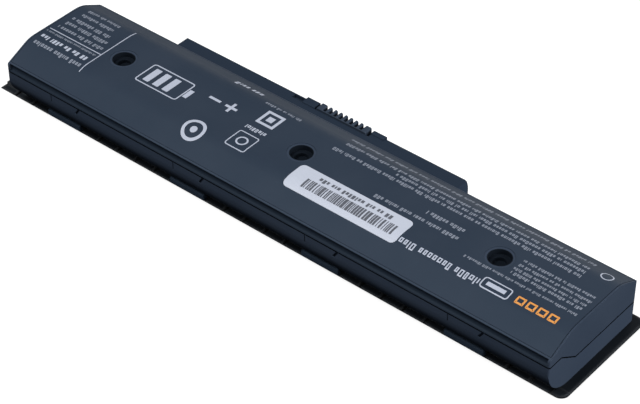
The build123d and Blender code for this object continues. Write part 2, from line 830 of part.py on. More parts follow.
# Fuse with a metal cap at each end
fuse_place = (x_board_left + fuse_from_left, y_parts)
with BuildPart() as pack_fuse:
    with BuildSketch(Plane.XY.offset(board_top + fuse_cap_lift)):
        with Locations(fuse_place):
            Rectangle(fuse_length - fuse_cap, fuse_width - 2 * fuse_cap_lift)
    extrude(amount=fuse_height - 2 * fuse_cap_lift)
    with BuildSketch(Plane.XY.offset(board_top)):
        with Locations(fuse_place):
            with GridLocations(fuse_length - fuse_cap, 0, 2, 1):
                Rectangle(fuse_cap, fuse_width)
    extrude(amount=fuse_height)
pack_fuse.part.label = "pack_fuse"
export_step(pack_fuse.part, "parts/pack_fuse.step")

# Flat sense resistor
with BuildPart() as sense_resistor:
    with BuildSketch(Plane.XY.offset(board_top)):
        with Locations((x_board_left + resistor_from_left, y_parts)):
            Rectangle(resistor_length, resistor_width)
    extrude(amount=resistor_height)
sense_resistor.part.label = "sense_resistor"
export_step(sense_resistor.part, "parts/sense_resistor.step")

# Row of small capacitors beside the connector housing
capacitor_row = (capacitor_count - 1) * capacitor_pitch + capacitor_width
x_capacitors = x_comb - comb_length / 2 - housing_flange - capacitor_gap - capacitor_row / 2
with BuildPart() as capacitors:
    with BuildSketch(Plane.XY.offset(board_top)):
        with Locations((x_capacitors, y_parts)):
            with GridLocations(capacitor_pitch, 0, capacitor_count, 1):
                Rectangle(capacitor_width, capacitor_length)
    extrude(amount=capacitor_height)
capacitors.part.label = "capacitors"
export_step(capacitors.part, "parts/capacitors.step")

# Temperature bead on two legs, close to the insulation sheet
x_sensor = x_board_right - sensor_from_right
y_sensor = y_sheet + sheet_thickness + sensor_gap + sensor_radius
z_sensor = board_top + sensor_stand
with BuildPart() as temperature_sensor:
    with BuildSketch(Plane.XY.offset(board_top)):
        with Locations((x_sensor, y_sensor)):
            with GridLocations(sensor_leg_spacing, 0, 2, 1):
                Circle(sensor_leg_radius)
    extrude(amount=sensor_stand)
    with BuildSketch(Plane.YZ.offset(x_sensor - sensor_length / 2)):
        with Locations((y_sensor, z_sensor)):
            Circle(sensor_radius)
    extrude(amount=sensor_length)
    chamfer(temperature_sensor.edges().group_by(Axis.X)[0], sensor_chamfer)
    chamfer(temperature_sensor.edges().group_by(Axis.X)[-1], sensor_chamfer)
temperature_sensor.part.label = "temperature_sensor"
export_step(temperature_sensor.part, "parts/temperature_sensor.step")

# Two leads from the end strips to the ends of the board
y_lead = y_rear - lead_run_from_rear
y_lead_board = y_board + lead_on_board_inset
z_lead_board = board_top + lead_radius + lead_seat
lead_ends = (
    ("negative_lead", x_stack - lead_radius - lead_seat, x_lead_left, 1),
    ("positive_lead", x_stack + stack_length + lead_radius + lead_seat, x_lead_right, -1),
)
for name, x_strip, x_turn, way in lead_ends:
    start = (x_strip, y_cell_back + lead_start_reach, lead_run_height)
    with BuildPart() as lead:
        with BuildLine() as route:
            FilletPolyline(
                start,
                (x_strip, y_lead, lead_run_height),
                (x_turn, y_lead, lead_run_height),
                (x_turn, y_lead_board, z_lead_board),
                (x_turn + way * lead_on_board, y_lead_board, z_lead_board),
                radius=lead_bend_radius,
            )
        with BuildSketch(Plane(start, (1, 0, 0), (0, 1, 0))):
            Circle(lead_radius)
        sweep()
    lead.part.label = name
    export_step(lead.part, f"parts/{name}.step")
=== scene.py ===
"""Looks of a removable notebook battery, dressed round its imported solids."""

import logging
import math
import random
from dataclasses import dataclass, field
from enum import Enum
from typing import Any, ClassVar, Optional, Sequence, Union

import bpy
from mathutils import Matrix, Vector


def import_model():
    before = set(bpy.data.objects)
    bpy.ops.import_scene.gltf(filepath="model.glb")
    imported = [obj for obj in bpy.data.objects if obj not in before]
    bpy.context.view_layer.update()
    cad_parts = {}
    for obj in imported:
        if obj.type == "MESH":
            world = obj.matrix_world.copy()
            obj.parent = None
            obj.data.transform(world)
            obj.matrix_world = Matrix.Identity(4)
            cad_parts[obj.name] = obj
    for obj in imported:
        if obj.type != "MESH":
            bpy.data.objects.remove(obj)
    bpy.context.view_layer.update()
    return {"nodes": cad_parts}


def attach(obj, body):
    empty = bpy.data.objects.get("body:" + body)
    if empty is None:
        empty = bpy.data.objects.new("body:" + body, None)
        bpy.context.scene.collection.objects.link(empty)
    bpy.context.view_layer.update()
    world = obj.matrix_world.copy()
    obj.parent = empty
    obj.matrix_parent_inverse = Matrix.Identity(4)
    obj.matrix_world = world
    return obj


LOG = logging.getLogger("battery")
MM = 0.001
BODY = "root"

Colour = tuple[float, float, float]
Term = Union["Wire", int, float]


class Wire:
    """A shader socket that takes part in plain arithmetic."""

    def __init__(self, graph: "Graph", socket: bpy.types.NodeSocket) -> None:
        """Keeps the socket and the graph that it belongs to."""
        self.graph = graph
        self.socket = socket

    def maths(self, operation: str, other: Term = 0.0, turned: bool = False) -> "Wire":
        """Adds one Math node.

        Args:
            operation: The Math node's operation.
            other: The second term.
            turned: True puts the other term first.

        Returns:
            The node's result.
        """
        first, second = (other, self) if turned else (self, other)
        node = self.graph.add("ShaderNodeMath", {"operation": operation}, {0: first, 1: second})
        return Wire(self.graph, node.outputs[0])

    def __add__(self, other: Term) -> "Wire":
        """Sum."""
        return self.maths("ADD", other)

    def __radd__(self, other: Term) -> "Wire":
        """Sum with a number in front."""
        return self.maths("ADD", other, True)

    def __sub__(self, other: Term) -> "Wire":
        """Difference."""
        return self.maths("SUBTRACT", other)

    def __rsub__(self, other: Term) -> "Wire":
        """Difference from a number."""
        return self.maths("SUBTRACT", other, True)

    def __mul__(self, other: Term) -> "Wire":
        """Product."""
        return self.maths("MULTIPLY", other)

    def __rmul__(self, other: Term) -> "Wire":
        """Product with a number in front."""
        return self.maths("MULTIPLY", other, True)

    def __pow__(self, other: Term) -> "Wire":
        """Power."""
        return self.maths("POWER", other)

    def __gt__(self, other: Term) -> "Wire":
        """One where the first term is the greater, and else nought."""
        return self.maths("GREATER_THAN", other)

    def __abs__(self) -> "Wire":
        """Size without sign."""
        return self.maths("ABSOLUTE")

    def clamped(self) -> "Wire":
        """Value kept between nought and one."""
        return self.maths("MAXIMUM").maths("MINIMUM", 1.0)


class Graph:
    """Node tree of one material, from its coordinates to its shader."""

    def __init__(self, name: str) -> None:
        """Starts a material with a bare shader.

        Args:
            name: The material's name.
        """
        self.material = bpy.data.materials.new(name)
        self.material.use_nodes = True
        self.tree = self.material.node_tree
        self.tree.nodes.clear()
        self.shader = self.add("ShaderNodeBsdfPrincipled")
        out = self.add("ShaderNodeOutputMaterial")
        self.tree.links.new(self.shader.outputs[0], out.inputs["Surface"])
        self.place = self.wire("ShaderNodeTexCoord", "Object")

    def add(
        self,
        kind: str,
        settings: Optional[dict[str, Any]] = None,
        inputs: Optional[dict[Union[str, int], Any]] = None,
    ) -> bpy.types.Node:
        """Adds a node of any type.

        Args:
            kind: The node's type.
            settings: Its own values, with a ramp's stops under "stops".
            inputs: Values or links of its sockets, by name or number.

        Returns:
            The node.
        """
        node = self.tree.nodes.new(kind)
        for key, value in (settings or {}).items():
            if key == "stops":
                ramp = node.color_ramp
                while len(ramp.elements) < len(value):
                    ramp.elements.new(1.0)
                for element, (place, shade) in zip(ramp.elements, value):
                    element.position = place
                    element.color = (shade, shade, shade, 1.0)
            else:
                setattr(node, key, value)
        for key, value in (inputs or {}).items():
            self.feed(node.inputs[key], value)
        return node

    def feed(self, socket: bpy.types.NodeSocket, value: Any) -> None:
        """Links a wire to a socket, or sets its value."""
        if isinstance(value, Wire):
            self.tree.links.new(value.socket, socket)
        elif socket.type == "RGBA" and len(value) == 3:
            socket.default_value = (*value, 1.0)
        else:
            socket.default_value = value

    def wire(
        self,
        kind: str,
        output: Union[str, int],
        settings: Optional[dict[str, Any]] = None,
        inputs: Optional[dict[Union[str, int], Any]] = None,
    ) -> Wire:
        """Adds a node and takes one of its results."""
        return Wire(self, self.add(kind, settings, inputs).outputs[output])

    def mix(self, factor: Term, first: Any, second: Any) -> Wire:
        """Blends two colours, from the first at nought to the second at one."""
        inputs = {0: factor, 6: first, 7: second}
        return self.wire("ShaderNodeMix", 2, {"data_type": "RGBA"}, inputs)

    def axes(self) -> tuple[Wire, Wire, Wire]:
        """Place along each axis, in millimetres."""
        node = self.add("ShaderNodeSeparateXYZ", {}, {0: self.place})
        return tuple(Wire(self, output) * (1.0 / MM) for output in node.outputs)

    def noise(self, size: float, detail: float = 2.0, stretch: Colour = (1.0, 1.0, 1.0)) -> Wire:
        """Cloudy pattern.

        Args:
            size: Breadth of one cloud, in millimetres.
            detail: How many finer layers it has.
            stretch: How much closer it lies along each axis.

        Returns:
            A value round one half.
        """
        place = self.wire("ShaderNodeMapping", 0, {}, {"Vector": self.place, "Scale": stretch})
        inputs = {"Vector": place, "Scale": 1.0 / (size * MM), "Detail": detail}
        return self.wire("ShaderNodeTexNoise", 0, {}, inputs)

    def ramp(self, value: Wire, *stops: tuple[float, float]) -> Wire:
        """Maps a value through grey stops."""
        return self.wire("ShaderNodeValToRGB", 0, {"stops": stops}, {0: value})

    def edges(self, radius: float) -> tuple[Wire, Wire]:
        """Rounded edges.

        Args:
            radius: The rounding, in millimetres.

        Returns:
            The rounded normal, and a mask that is one on the edges.
        """
        normal = self.wire("ShaderNodeBevel", 0, {"samples": 6}, {"Radius": radius * MM})
        plain = self.wire("ShaderNodeNewGeometry", "Normal")
        dot = {"operation": "DOT_PRODUCT"}
        meet = self.wire("ShaderNodeVectorMath", 1, dot, {0: normal, 1: plain})
        return normal, self.ramp(1.0 - meet, (0.02, 0.0), (0.22, 1.0))

    def bump(self, height: Wire, depth: float, normal: Optional[Wire] = None) -> Wire:
        """Relief.

        Args:
            height: The pattern.
            depth: Its depth, in millimetres.
            normal: The normal that it stands on.

        Returns:
            The normal with the relief.
        """
        inputs: dict[Union[str, int], Any] = {"Height": height, "Distance": depth * MM}
        inputs["Strength"] = 1.0
        if normal is not None:
            inputs["Normal"] = normal
        return self.wire("ShaderNodeBump", 0, {}, inputs)

    def shade(self, **sockets: Any) -> bpy.types.Material:
        """Feeds the shader's sockets.

        Args:
            sockets: Values or wires, by socket name with underscores for blanks.

        Returns:
            The finished material.
        """
        for key, value in sockets.items():
            self.feed(self.shader.inputs[key.replace("_", " ")], value)
        return self.material


def lighter(colour: Colour, share: float) -> Colour:
    """Colour moved towards white, or towards black by a negative share."""
    goal = 1.0 if share > 0 else 0.0
    return tuple(c + (goal - c) * abs(share) for c in colour)


@dataclass(frozen=True)
class MouldedPlastic:
    """Spark-eroded moulded plastic with soft, paler edges that are partly wear and partly painted
    highlight.
    """

    name: str
    colour: Colour
    roughness: float = 0.45
    grain: float = 0.32
    grain_depth: float = 0.012
    edge: float = 0.18
    edge_lift: float = 0.012
    specular: float = 0.16
    tint: Colour = (0.66, 0.84, 1.0)
    cloud: float = 26.0
    cloud_drop: float = -0.12
    cloud_lift: float = 0.012

    def material(self) -> bpy.types.Material:
        """Builds the plastic's material."""
        graph = Graph(self.name)
        normal, edge = graph.edges(self.edge)
        clouds = graph.noise(self.cloud, 3.0)
        grain = graph.noise(self.grain, 2.0)
        darkened = lighter(self.colour, self.cloud_drop)
        shade = graph.mix(clouds, darkened, lighter(self.colour, self.cloud_lift))
        # Edges are lifted towards a paler colour: partly wear, partly painted highlight.
        worn_and_highlit = graph.mix(edge * (0.4 + 0.6 * clouds), shade, lighter(self.colour, self.edge_lift))
        gloss = self.roughness - 0.06 + 0.08 * clouds + 0.05 * grain - 0.1 * edge
        return graph.shade(
            Base_Color=self.accents_and_painted_shade(graph, worn_and_highlit),
            Roughness=gloss,
            Specular_IOR_Level=self.specular,
            Specular_Tint=self.tint,
            Normal=graph.bump(grain, self.grain_depth, normal),
        )

    def accents_and_painted_shade(self, graph: Graph, shade: Wire) -> Wire:
        """Colours local marks and painted shade over the rest, which is nothing on a plain moulding.
        """
        return shade


@dataclass(frozen=True)
class CasePlastic(MouldedPlastic):
    """Moulded plastic of the case halves, with painted shade on the rear tongue, in millimetres."""

    # Colour of the painted shade on the rear tongue.
    tongue_shade_colour: Colour = (0.0155, 0.024, 0.0395)
    tongue_front: float = 19.0

    def tongue(self, graph: Graph, y: Wire, shade: Wire) -> Wire:
        """Paints shade on the rear tongue, which lies lower behind the body.

        Args:
            graph: The plastic's node tree.
            y: Place across the pack.
            shade: The colour of the rest.

        Returns:
            The colour over both.
        """
        # Painted shade: darkens the tongue behind the body.
        return graph.mix(y > self.tongue_front, shade, self.tongue_shade_colour)


@dataclass(frozen=True)
class SocketPlastic(CasePlastic):
    """Plastic of the upper half, with painted shade in the round sockets and in the cove, in
    millimetres.
    """

    # Colour of the painted shade inside the sockets.
    socket_shade_colour: Colour = (0.006, 0.0085, 0.013)
    socket_middle: tuple[float, float] = (2.2, -4.7)
    socket_pitch: float = 80.1
    socket_radius: float = 4.1
    # Colour of the painted shade in the cove under the brow.
    cove_shade_colour: Colour = (0.011, 0.017, 0.0275)
    cove_back: float = -26.85
    cove_top: float = 18.0
    cove_middle: float = 3.1
    cove_length: float = 228.2

    def accents_and_painted_shade(self, graph: Graph, shade: Wire) -> Wire:
        """Paints shade in the sockets, in the cove and on the rear tongue.

        Args:
            graph: The plastic's node tree.
            shade: The colour of the rest.

        Returns:
            The colour over the whole surface.
        """
        x, y, z = graph.axes()
        along = (x - self.socket_middle[0]).maths("PINGPONG", self.socket_pitch / 2)
        reach = along**2 + (y - self.socket_middle[1]) ** 2
        # Painted shade: darkens the plastic inside each round socket.
        inside = self.socket_radius**2 - reach > 0.0
        between = self.cove_length / 2 - abs(x - self.cove_middle) > 0.0
        # Painted shade: darkens the cove under the brow.
        cove = between * (self.cove_back - y > 0.0) * (self.cove_top - z > 0.0)
        darkened = self.tongue(graph, y, shade)
        return graph.mix(cove, graph.mix(inside, darkened, self.socket_shade_colour), self.cove_shade_colour)


@dataclass(frozen=True)
class NosePlastic(CasePlastic):
    """Plastic of the lower half, with painted shade on the seam's rim and under the nose, in
    millimetres.
    """

    # Colour of the painted shade on the rim's top in the seam gap.
    rim_shade_colour: Colour = (0.002, 0.003, 0.005)
    rim_front: float = 14.57
    rim_drop: float = 5.4
    step_start: float = -21.9
    step_length: float = 8.0
    # Colour of the painted shade under the nose.
    under_shade_colour: Colour = (0.009, 0.014, 0.0225)
    under_top: float = 10.6
    under_fade: float = 2.6
    nose_back: float = -14.0
    nose_middle: float = 3.1
    nose_length: float = 229.4

    def accents_and_painted_shade(self, graph: Graph, shade: Wire) -> Wire:
        """Paints shade on the seam's rim, under the nose and on the rear tongue.

        Args:
            graph: The plastic's node tree.
            shade: The colour of the rest.

        Returns:
            The colour over the whole surface.
        """
        x, y, z = graph.axes()
        fall = ((y - self.step_start) * (1.0 / self.step_length)).clamped()
        # Painted shade: darkens the rim's top in the seam gap nearly to black.
        rim = z + self.rim_drop * fall > self.rim_front
        depth = ((self.under_top - z) * (1.0 / self.under_fade)).clamped()
        between = self.nose_length / 2 - abs(x - self.nose_middle) > 0.0
        # Painted shade: the nose front darkens towards its underside.
        under = depth * between * (self.nose_back - y > 0.0)
        darkened = self.tongue(graph, y, shade)
        return graph.mix(rim, graph.mix(under, darkened, self.under_shade_colour), self.rim_shade_colour)


@dataclass(frozen=True)
class TabbedPlastic(MouldedPlastic):
    """Moulded plastic with paler tabs along its front edge, in millimetres."""

    tab_colour: Colour = (0.027, 0.041, 0.064)
    tab_middle: float = -31.75
    tab_pitch: float = 57.9
    tab_length: float = 15.5
    tab_back: float = -22.85

    def accents_and_painted_shade(self, graph: Graph, shade: Wire) -> Wire:
        """Colours the tabs.

        Args:
            graph: The plastic's node tree.
            shade: The colour of the rest.

        Returns:
            The colour over the whole surface.
        """
        x, y, _ = graph.axes()
        along = (x - self.tab_middle).maths("PINGPONG", self.tab_pitch / 2)
        tab = (self.tab_length / 2 - along > 0.0) * (self.tab_back - y > 0.0)
        return graph.mix(tab, shade, self.tab_colour)


@dataclass(frozen=True)
class Paper:
    """Paper, card or tape with faint fibres."""

    name: str
    colour: Colour
    roughness: float = 0.6
    fibre: float = 0.5
    fibre_depth: float = 0.006

    def material(self) -> bpy.types.Material:
        """Builds the paper's material."""
        graph = Graph(self.name)
        fibres = graph.noise(self.fibre, 4.0, (0.35, 1.0, 1.0))
        stains = graph.noise(9.0, 2.0)
        pattern = fibres * 0.5 + stains * 0.5
        shade = graph.mix(pattern, lighter(self.colour, -0.08), lighter(self.colour, 0.05))
        return graph.shade(
            Base_Color=shade,
            Roughness=self.roughness - 0.08 + 0.16 * fibres,
            Normal=graph.bump(fibres, self.fibre_depth),
        )


@dataclass(frozen=True)
class Ink:
    """Screen-printed ink with a slightly uneven cover."""

    name: str
    colour: Colour
    ground: Colour
    cover: float = 0.9
    speckle: float = 0.22
    speckle_loss: float = 0.18
    wash: float = 14.0
    wash_loss: float = 0.12

    def material(self) -> bpy.types.Material:
        """Builds the ink's material."""
        graph = Graph(self.name)
        speckle = graph.ramp(graph.noise(self.speckle, 2.0), (0.3, 0.0), (0.55, 1.0))
        wash = graph.noise(self.wash, 2.0)
        cover = self.cover - self.speckle_loss * (1.0 - speckle) - self.wash_loss * (1.0 - wash)
        return graph.shade(
            Base_Color=graph.mix(cover, self.ground, self.colour),
            Roughness=0.42 + 0.12 * speckle,
            Specular_IOR_Level=0.4,
        )


@dataclass(frozen=True)
class RolledMetal:
    """Rolled or plated metal with fine lines along one axis."""

    name: str
    colour: Colour
    roughness: float = 0.3
    lines: Colour = (0.05, 1.0, 1.0)

    def material(self) -> bpy.types.Material:
        """Builds the metal's material."""
        graph = Graph(self.name)
        lines = graph.noise(0.25, 3.0, self.lines)
        tarnish = graph.noise(4.0, 3.0)
        shade = graph.mix(tarnish, lighter(self.colour, -0.25), self.colour)
        return graph.shade(
            Base_Color=shade,
            Metallic=1.0,
            Roughness=self.roughness - 0.08 + 0.12 * lines + 0.12 * tarnish,
            Normal=graph.bump(lines, 0.004),
        )


@dataclass(frozen=True)
class ShrinkWrap:
    """Glossy shrink wrap of the cells, a little wavy."""

    name: str
    colour: Colour

    def material(self) -> bpy.types.Material:
        """Builds the wrap's material."""
        graph = Graph(self.name)
        waves = graph.noise(5.0, 2.0, (0.4, 1.0, 1.0))
        dust = graph.noise(0.6, 3.0)
        shade = graph.mix(waves, lighter(self.colour, -0.2), lighter(self.colour, 0.06))
        return graph.shade(
            Base_Color=shade,
            Roughness=0.22 + 0.16 * dust,
            Coat_Weight=0.3,
            Normal=graph.bump(waves, 0.05),
        )


@dataclass(frozen=True)
class BoardMask:
    """Solder mask with raised tracks under it."""

    name: str
    colour: Colour
    track: Colour

    def material(self) -> bpy.types.Material:
        """Builds the board's material."""
        graph = Graph(self.name)
        sizes = {"Vector": graph.place, "Scale": 1.0 / (1.6 * MM), "Mortar Size": 0.18}
        tracks = graph.wire("ShaderNodeTexBrick", 1, {"offset": 0.37}, sizes)
        clouds = graph.noise(3.0, 3.0)
        shade = graph.mix(tracks * 0.8, self.colour, self.track)
        return graph.shade(
            Base_Color=graph.mix(clouds * 0.3, shade, lighter(self.colour, -0.4)),
            Roughness=0.3 + 0.15 * clouds,
            Normal=graph.bump(tracks, 0.03),
        )


@dataclass(frozen=True)
class Rubber:
    """Foam or wire insulation with a dull, fine-pored skin."""

    name: str
    colour: Colour
    pores: float = 0.5
    depth: float = 0.03
    roughness: float = 0.7

    def material(self) -> bpy.types.Material:
        """Builds the rubber's material."""
        graph = Graph(self.name)
        pores = graph.ramp(graph.noise(self.pores, 3.0), (0.35, 0.0), (0.6, 1.0))
        shade = graph.mix(pores, lighter(self.colour, -0.35), lighter(self.colour, 0.04))
        return graph.shade(
            Base_Color=shade,
            Roughness=self.roughness - 0.1 + 0.15 * pores,
            Normal=graph.bump(pores, self.depth),
        )


CASE_COLOUR: Colour = (0.0252, 0.038, 0.062)
NOSE_COLOUR: Colour = (0.028, 0.0415, 0.067)
COVER_COLOUR: Colour = (0.003, 0.005, 0.008)
FILM_COLOUR: Colour = (0.0188, 0.0299, 0.0495)
INK_COLOUR: Colour = (0.46, 0.50, 0.60)
FINE_COLOUR: Colour = (0.24, 0.268, 0.33)
STICKER_COLOUR: Colour = (0.425, 0.46, 0.545)
ORANGE: Colour = (0.72, 0.30, 0.06)


class Finish(Enum):
    """Finishes of the battery, by what they cover."""

    CASE = SocketPlastic("case_plastic", CASE_COLOUR, 0.5, specular=0.08)
    NOSE = NosePlastic("nose_plastic", NOSE_COLOUR, 0.6, specular=0.03)
    # The cover's wide edge mask paints highlights on its ribs, tabs and rim.
    COVER = TabbedPlastic(
        "cover_plastic", COVER_COLOUR, 0.55, edge=1.5, edge_lift=0.045, specular=0.12
    )
    FILM = MouldedPlastic("film_skin", FILM_COLOUR, 0.46, 0.22, 0.006, 0.06, specular=0.08)
    COMB = MouldedPlastic("comb_plastic", (0.021, 0.032, 0.052), 0.45, grain=0.2, edge=0.12)
    STICKER = Paper("sticker_paper", STICKER_COLOUR, 0.5)
    PRINT = Ink("label_ink", INK_COLOUR, FILM_COLOUR)
    FINE_PRINT = Ink("fine_ink", FINE_COLOUR, FILM_COLOUR)
    ORANGE = Ink("orange_ink", ORANGE, FILM_COLOUR, 0.95)
    BAR_INK = Ink("sticker_ink", (0.012, 0.014, 0.022), STICKER_COLOUR, 0.95)
    CONTACT = RolledMetal("contact_plating", (0.78, 0.58, 0.27), 0.28)
    NICKEL = RolledMetal("nickel_strip", (0.62, 0.6, 0.56), 0.32, (1.0, 0.06, 1.0))
    RESISTOR = RolledMetal("resistor_metal", (0.45, 0.44, 0.42), 0.4)
    CELL = ShrinkWrap("cell_wrap", (0.03, 0.16, 0.30))
    RING = Paper("ring_paper", (0.72, 0.70, 0.64), 0.75)
    TAPE = Paper("pad_tape", (0.74, 0.72, 0.62), 0.55)
    SHEET = Paper("barrier_sheet", (0.62, 0.6, 0.5), 0.65)
    FOAM = Rubber("end_foam", (0.03, 0.03, 0.034), 0.8, 0.12, 0.85)
    LEAD_BLACK = Rubber("lead_black", (0.012, 0.012, 0.013), 0.3, 0.01, 0.45)
    LEAD_RED = Rubber("lead_red", (0.36, 0.02, 0.015), 0.3, 0.01, 0.45)
    BOARD = BoardMask("board_mask", (0.012, 0.10, 0.035), (0.03, 0.17, 0.06))
    CHIP = MouldedPlastic("chip_resin", (0.012, 0.012, 0.013), 0.5, 0.15, 0.01, 0.06)
    FUSE = MouldedPlastic("fuse_ceramic", (0.62, 0.6, 0.55), 0.5, 0.2, 0.01, 0.06)
    CAPACITOR = MouldedPlastic("capacitor_ceramic", (0.3, 0.19, 0.09), 0.5, 0.2, 0.01, 0.06)
    BEAD = MouldedPlastic("bead_resin", (0.06, 0.045, 0.025), 0.25, 0.4, 0.02, 0.08)


NODE_FINISH: dict[str, Finish] = {
    "upper_case": Finish.CASE,
    "lower_case": Finish.NOSE,
    "cover_plate": Finish.COVER,
    "label_film": Finish.FILM,
    "barcode_sticker": Finish.STICKER,
    "connector_housing": Finish.COMB,
    "contact_blades": Finish.CONTACT,
    "cell_front_1": Finish.CELL,
    "cell_front_2": Finish.CELL,
    "cell_front_3": Finish.CELL,
    "cell_back_1": Finish.CELL,
    "cell_back_2": Finish.CELL,
    "cell_back_3": Finish.CELL,
    "insulator_rings": Finish.RING,
    "negative_strip": Finish.NICKEL,
    "link_strip_left": Finish.NICKEL,
    "link_strip_right": Finish.NICKEL,
    "positive_strip": Finish.NICKEL,
    "end_pads": Finish.FOAM,
    "cell_tapes": Finish.TAPE,
    "protection_board": Finish.BOARD,
    "insulation_sheet": Finish.SHEET,
    "gauge_chip": Finish.CHIP,
    "power_switches": Finish.CHIP,
    "pack_fuse": Finish.FUSE,
    "sense_resistor": Finish.RESISTOR,
    "capacitors": Finish.CAPACITOR,
    "temperature_sensor": Finish.BEAD,
    "negative_lead": Finish.LEAD_BLACK,
    "positive_lead": Finish.LEAD_RED,
}


class Wardrobe:
    """The finishes' materials, each built once."""

    def __init__(self) -> None:
        """Starts with no material."""
        self.made: dict[Finish, bpy.types.Material] = {}

    def of(self, finish: Finish) -> bpy.types.Material:
        """Gives a finish's material, built at its first use."""
        if finish not in self.made:
            self.made[finish] = finish.value.material()
        return self.made[finish]

    def dress(self, piece: bpy.types.Object, finish: Finish) -> None:
        """Puts a finish on every face of a piece."""
        piece.data.materials.clear()
        piece.data.materials.append(self.of(finish))


class Drawing:
    """Flat shapes drawn in one mesh, in millimetres, then laid on a surface."""

    height = 40.0

    def __init__(self, name: str) -> None:
        """Opens an empty mesh in edit mode.

        Args:
            name: The finished piece's name.
        """
        bpy.ops.object.select_all(action="DESELECT")
        bpy.ops.mesh.primitive_plane_add(size=MM)
        self.piece = bpy.context.object
        self.piece.name = name
        bpy.ops.object.mode_set(mode="EDIT")
        bpy.ops.mesh.select_all(action="SELECT")
        bpy.ops.mesh.delete(type="VERT")

    def spot(self, x: float, y: float) -> Vector:
        """Point of the drawing plane above a place."""
        return Vector((x, y, self.height)) * MM

    def field(self, x: float, y: float, length: float, depth: float) -> None:
        """Draws a rectangle, left selected.

        Args:
            x: Its middle along the pack.
            y: Its middle across the pack.
            length: Its size along the pack.
            depth: Its size across the pack.
        """
        bpy.ops.mesh.select_all(action="DESELECT")
        spot = self.spot(x, y)
        bpy.ops.mesh.primitive_plane_add(size=MM, location=spot)
        bpy.ops.transform.resize(value=(length, depth, 1.0), center_override=spot)

    def disc(self, x: float, y: float, radius: float) -> None:
        """Draws a disc, left selected."""
        bpy.ops.mesh.select_all(action="DESELECT")
        bpy.ops.mesh.primitive_circle_add(
            vertices=40, radius=radius * MM, fill_type="NGON", location=self.spot(x, y)
        )

    def rounded(self, radius: float) -> None:
        """Rounds the corners of what is selected."""
        bpy.ops.mesh.bevel(offset=radius * MM, segments=4, affect="VERTICES")

    def hollow(self, width: float) -> None:
        """Leaves only a border of what is selected."""
        bpy.ops.mesh.inset(thickness=width * MM, use_boundary=True)
        bpy.ops.mesh.delete(type="FACE")

    def divide(self, y_from: float, y_to: float, step: float) -> None:
        """Cuts the mesh along the pack so that it can follow a curve."""
        count = int(round((y_to - y_from) / step))
        for index in range(count + 1):
            bpy.ops.mesh.select_all(action="SELECT")
            place = Vector((0.0, (y_from + index * step) * MM, self.height * MM))
            bpy.ops.mesh.bisect(plane_co=place, plane_no=(0.0, 1.0, 0.0))

    def lay(self, ground: bpy.types.Object, lift: float) -> bpy.types.Object:
        """Drops the drawing on a surface.

        Args:
            ground: What it lies on.
            lift: Its height above that, in millimetres.

        Returns:
            The finished piece.
        """
        bpy.ops.object.mode_set(mode="OBJECT")
        bpy.ops.object.select_all(action="DESELECT")
        bpy.context.view_layer.objects.active = self.piece
        self.piece.select_set(True)
        wrap = self.piece.modifiers.new("lay", "SHRINKWRAP")
        wrap.target = ground
        wrap.wrap_method = "PROJECT"
        wrap.use_project_z = True
        wrap.use_negative_direction = True
        wrap.use_positive_direction = False
        bpy.ops.object.modifier_apply(modifier=wrap.name)
        bpy.ops.object.transform_apply(location=True, rotation=True, scale=True)
        bpy.ops.object.mode_set(mode="EDIT")
        bpy.ops.mesh.select_all(action="SELECT")
        bpy.ops.transform.translate(value=(0.0, 0.0, lift * MM))
        bpy.ops.mesh.normals_make_consistent(inside=False)
        bpy.ops.object.mode_set(mode="OBJECT")
        return self.piece


@dataclass(frozen=True)
class PrintRow:
    """One row of plain blocks that stands for print, from its right end to its left."""

    x_start: float
    x_end: float
    y: float
    height: float
    seed: int
    stroke: float = 0.2
    widths: ClassVar[tuple[float, ...]] = (0.44, 0.5, 0.56)
    group: ClassVar[tuple[int, int]] = (2, 8)
    tall_share: ClassVar[float] = 0.35
    low_drop: ClassVar[float] = 0.3
    hollow_from: ClassVar[float] = 2.1
    gap: ClassVar[float] = 0.22
    blank: ClassVar[float] = 0.66

    def draw(self, drawing: Drawing) -> None:
        """Draws the row as groups of upright bars, low blocks and small frames.

        Args:
            drawing: The drawing that takes the row.
        """
        dice = random.Random(self.seed)
        x = self.x_start
        rest = dice.randint(*self.group)
        while x > self.x_end:
            width = self.height * dice.choice((self.stroke, *self.widths))
            low = 0.0 if dice.random() < self.tall_share else self.low_drop * self.height
            drawing.field(x - width / 2, self.y + low / 2, width, self.height - low)
            if width > self.hollow_from * self.stroke * self.height:
                drawing.hollow(self.stroke * self.height)
            rest -= 1
            x -= width + self.height * (self.gap if rest else self.blank)
            rest = rest or dice.randint(*self.group)


@dataclass(frozen=True)
class Box:
    """Rectangle of the print, filled or only a border."""

    x: float
    y: float
    length: float
    depth: float
    rounding: float = 0.0
    border: float = 0.0

    def draw(self, drawing: Drawing) -> None:
        """Draws the rectangle."""
        drawing.field(self.x, self.y, self.length, self.depth)
        if self.rounding:
            drawing.rounded(self.rounding)
        if self.border:
            drawing.hollow(self.border)


@dataclass(frozen=True)
class Disc:
    """Disc of the print, filled or only a ring."""

    x: float
    y: float
    radius: float
    border: float = 0.0

    def draw(self, drawing: Drawing) -> None:
        """Draws the disc."""
        drawing.disc(self.x, self.y, self.radius)
        if self.border:
            drawing.hollow(self.border)


Mark = Union[PrintRow, Box, Disc]


